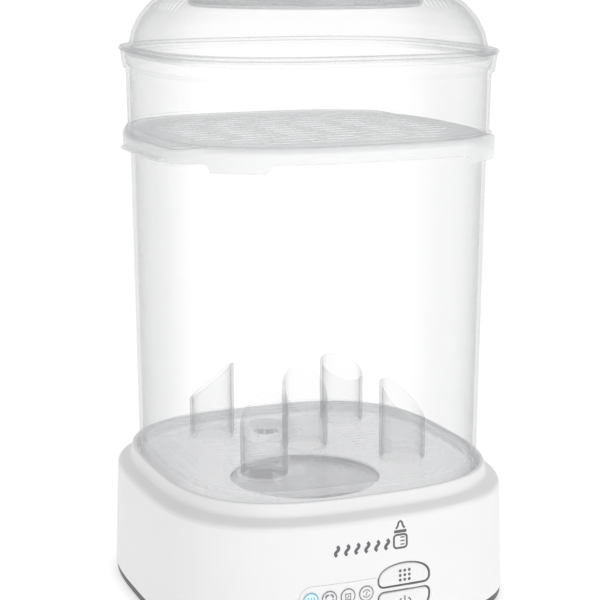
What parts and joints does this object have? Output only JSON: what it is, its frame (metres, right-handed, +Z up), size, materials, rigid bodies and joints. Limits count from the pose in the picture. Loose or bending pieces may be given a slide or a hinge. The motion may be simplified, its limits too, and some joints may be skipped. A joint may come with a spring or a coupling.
{
  "type": "bottle sterilizer",
  "caption": "Electric steam sterilizer and dryer for baby bottles: heated base with keys, clear chamber over a peg rack, tray tier and domed lid with a recessed grip.",
  "frame": {"origin": "middle of the footprint, on the surface that the rubber feet stand on", "axes": "+Z up, -Y towards the front with the keys, +X to the right seen from the front"},
  "size_m": [0.235, 0.235, 0.3885],
  "materials": {
    "rubber": "moulded black rubber",
    "dark_plastic": "fine-grained dark grey plastic",
    "white_plastic": "white injection-moulded plastic, satin gloss",
    "silicone": "translucent grey silicone",
    "stainless": "brushed stainless steel",
    "cast_alloy": "cast aluminium",
    "screw_steel": "zinc-plated steel",
    "black_plastic": "black plastic",
    "ceramic": "glazed ceramic sleeve",
    "circuit_board": "green solder mask",
    "led": "clear epoxy",
    "window_lit": "lit blue indicator window",
    "window": "pale indicator window",
    "components": "moulded component cases",
    "gland_plastic": "white nylon",
    "duct_plastic": "grey heat-resistant plastic",
    "motor_casing": "painted steel can",
    "filter_foam": "pleated fibre filter",
    "clear_plastic": "clear polished plastic",
    "smoke_plastic": "clear grey-tinted plastic",
    "frosted_plastic": "milky white plastic",
    "frosted_clear": "frosted translucent plastic",
    "grey_plastic": "translucent grey plastic"
  },
  "bodies": {
    "base": {"rubber_feet": "rubber", "bottom_cover": "dark_plastic", "base_shell": "white_plastic", "base_deck": "white_plastic", "plate_seal": "silicone", "heating_plate": "stainless", "heating_element": "cast_alloy", "element_bracket": "stainless", "heater_screws": "screw_steel", "thermostat": "black_plastic", "thermal_fuse": "ceramic", "control_board": "circuit_board", "tact_switches": "black_plastic", "indicator_leds": "led", "steam_window": "window_lit", "fan_window": "window", "storage_window": "window", "auto_window": "window", "key_bezel": "dark_plastic", "power_board": "circuit_board", "board_components": "components", "board_screws": "screw_steel", "base_screws": "screw_steel", "cord_gland": "gland_plastic", "blower_housing": "duct_plastic", "fan_motor": "motor_casing", "dryer_heater": "cast_alloy", "air_duct": "duct_plastic", "air_outlet_cap": "white_plastic"},
    "mode_key_body": {"mode_key": "white_plastic"},
    "power_key_body": {"power_key": "white_plastic"},
    "fan": {"fan_shaft": "stainless", "fan_impeller": "black_plastic"},
    "filter_drawer": {"filter_cover": "white_plastic", "air_filter": "filter_foam"},
    "chamber": {"lower_chamber": "clear_plastic"},
    "rack": {"bottle_rack": "smoke_plastic", "peg_front_left": "smoke_plastic", "peg_front_right": "smoke_plastic", "peg_rear_left": "smoke_plastic", "peg_rear_right": "smoke_plastic", "peg_centre": "smoke_plastic"},
    "tray": {"accessory_tray": "frosted_plastic"},
    "tier": {"tier_wall": "frosted_clear"},
    "lid": {"lid_dome": "frosted_clear", "lid_cup": "grey_plastic", "lid_grip": "grey_plastic"}
  },
  "joints": [
    {"name": "chamber_lift", "type": "slide", "parent": "base", "child": "chamber", "axis": [0, 0, 1], "range_m": [0, 0.12]},
    {"name": "rack_lift", "type": "slide", "parent": "base", "child": "rack", "axis": [0, 0, 1], "range_m": [0, 0.12]},
    {"name": "tray_lift", "type": "slide", "parent": "chamber", "child": "tray", "axis": [0, 0, 1], "range_m": [0, 0.08]},
    {"name": "tier_lift", "type": "slide", "parent": "tray", "child": "tier", "axis": [0, 0, 1], "range_m": [0, 0.06]},
    {"name": "lid_lift", "type": "slide", "parent": "tier", "child": "lid", "axis": [0, 0, 1], "range_m": [0, 0.08]},
    {"name": "mode_press", "type": "slide", "parent": "base", "child": "mode_key_body", "axis": [0, 1, 0], "range_m": [0, 0.0008], "stiffness_N_per_m": 1500, "springref_m": -0.0004},
    {"name": "power_press", "type": "slide", "parent": "base", "child": "power_key_body", "axis": [0, 1, 0], "range_m": [0, 0.0008], "stiffness_N_per_m": 1500, "springref_m": -0.0004},
    {"name": "filter_pull", "type": "slide", "parent": "base", "child": "filter_drawer", "axis": [0, 1, 0], "range_m": [0, 0.03]},
    {"name": "fan_spin", "type": "hinge", "parent": "base", "child": "fan", "pos_m": [0.05, 0.046, 0.022], "axis": [0, 0, 1], "continuous": true}
  ]
}
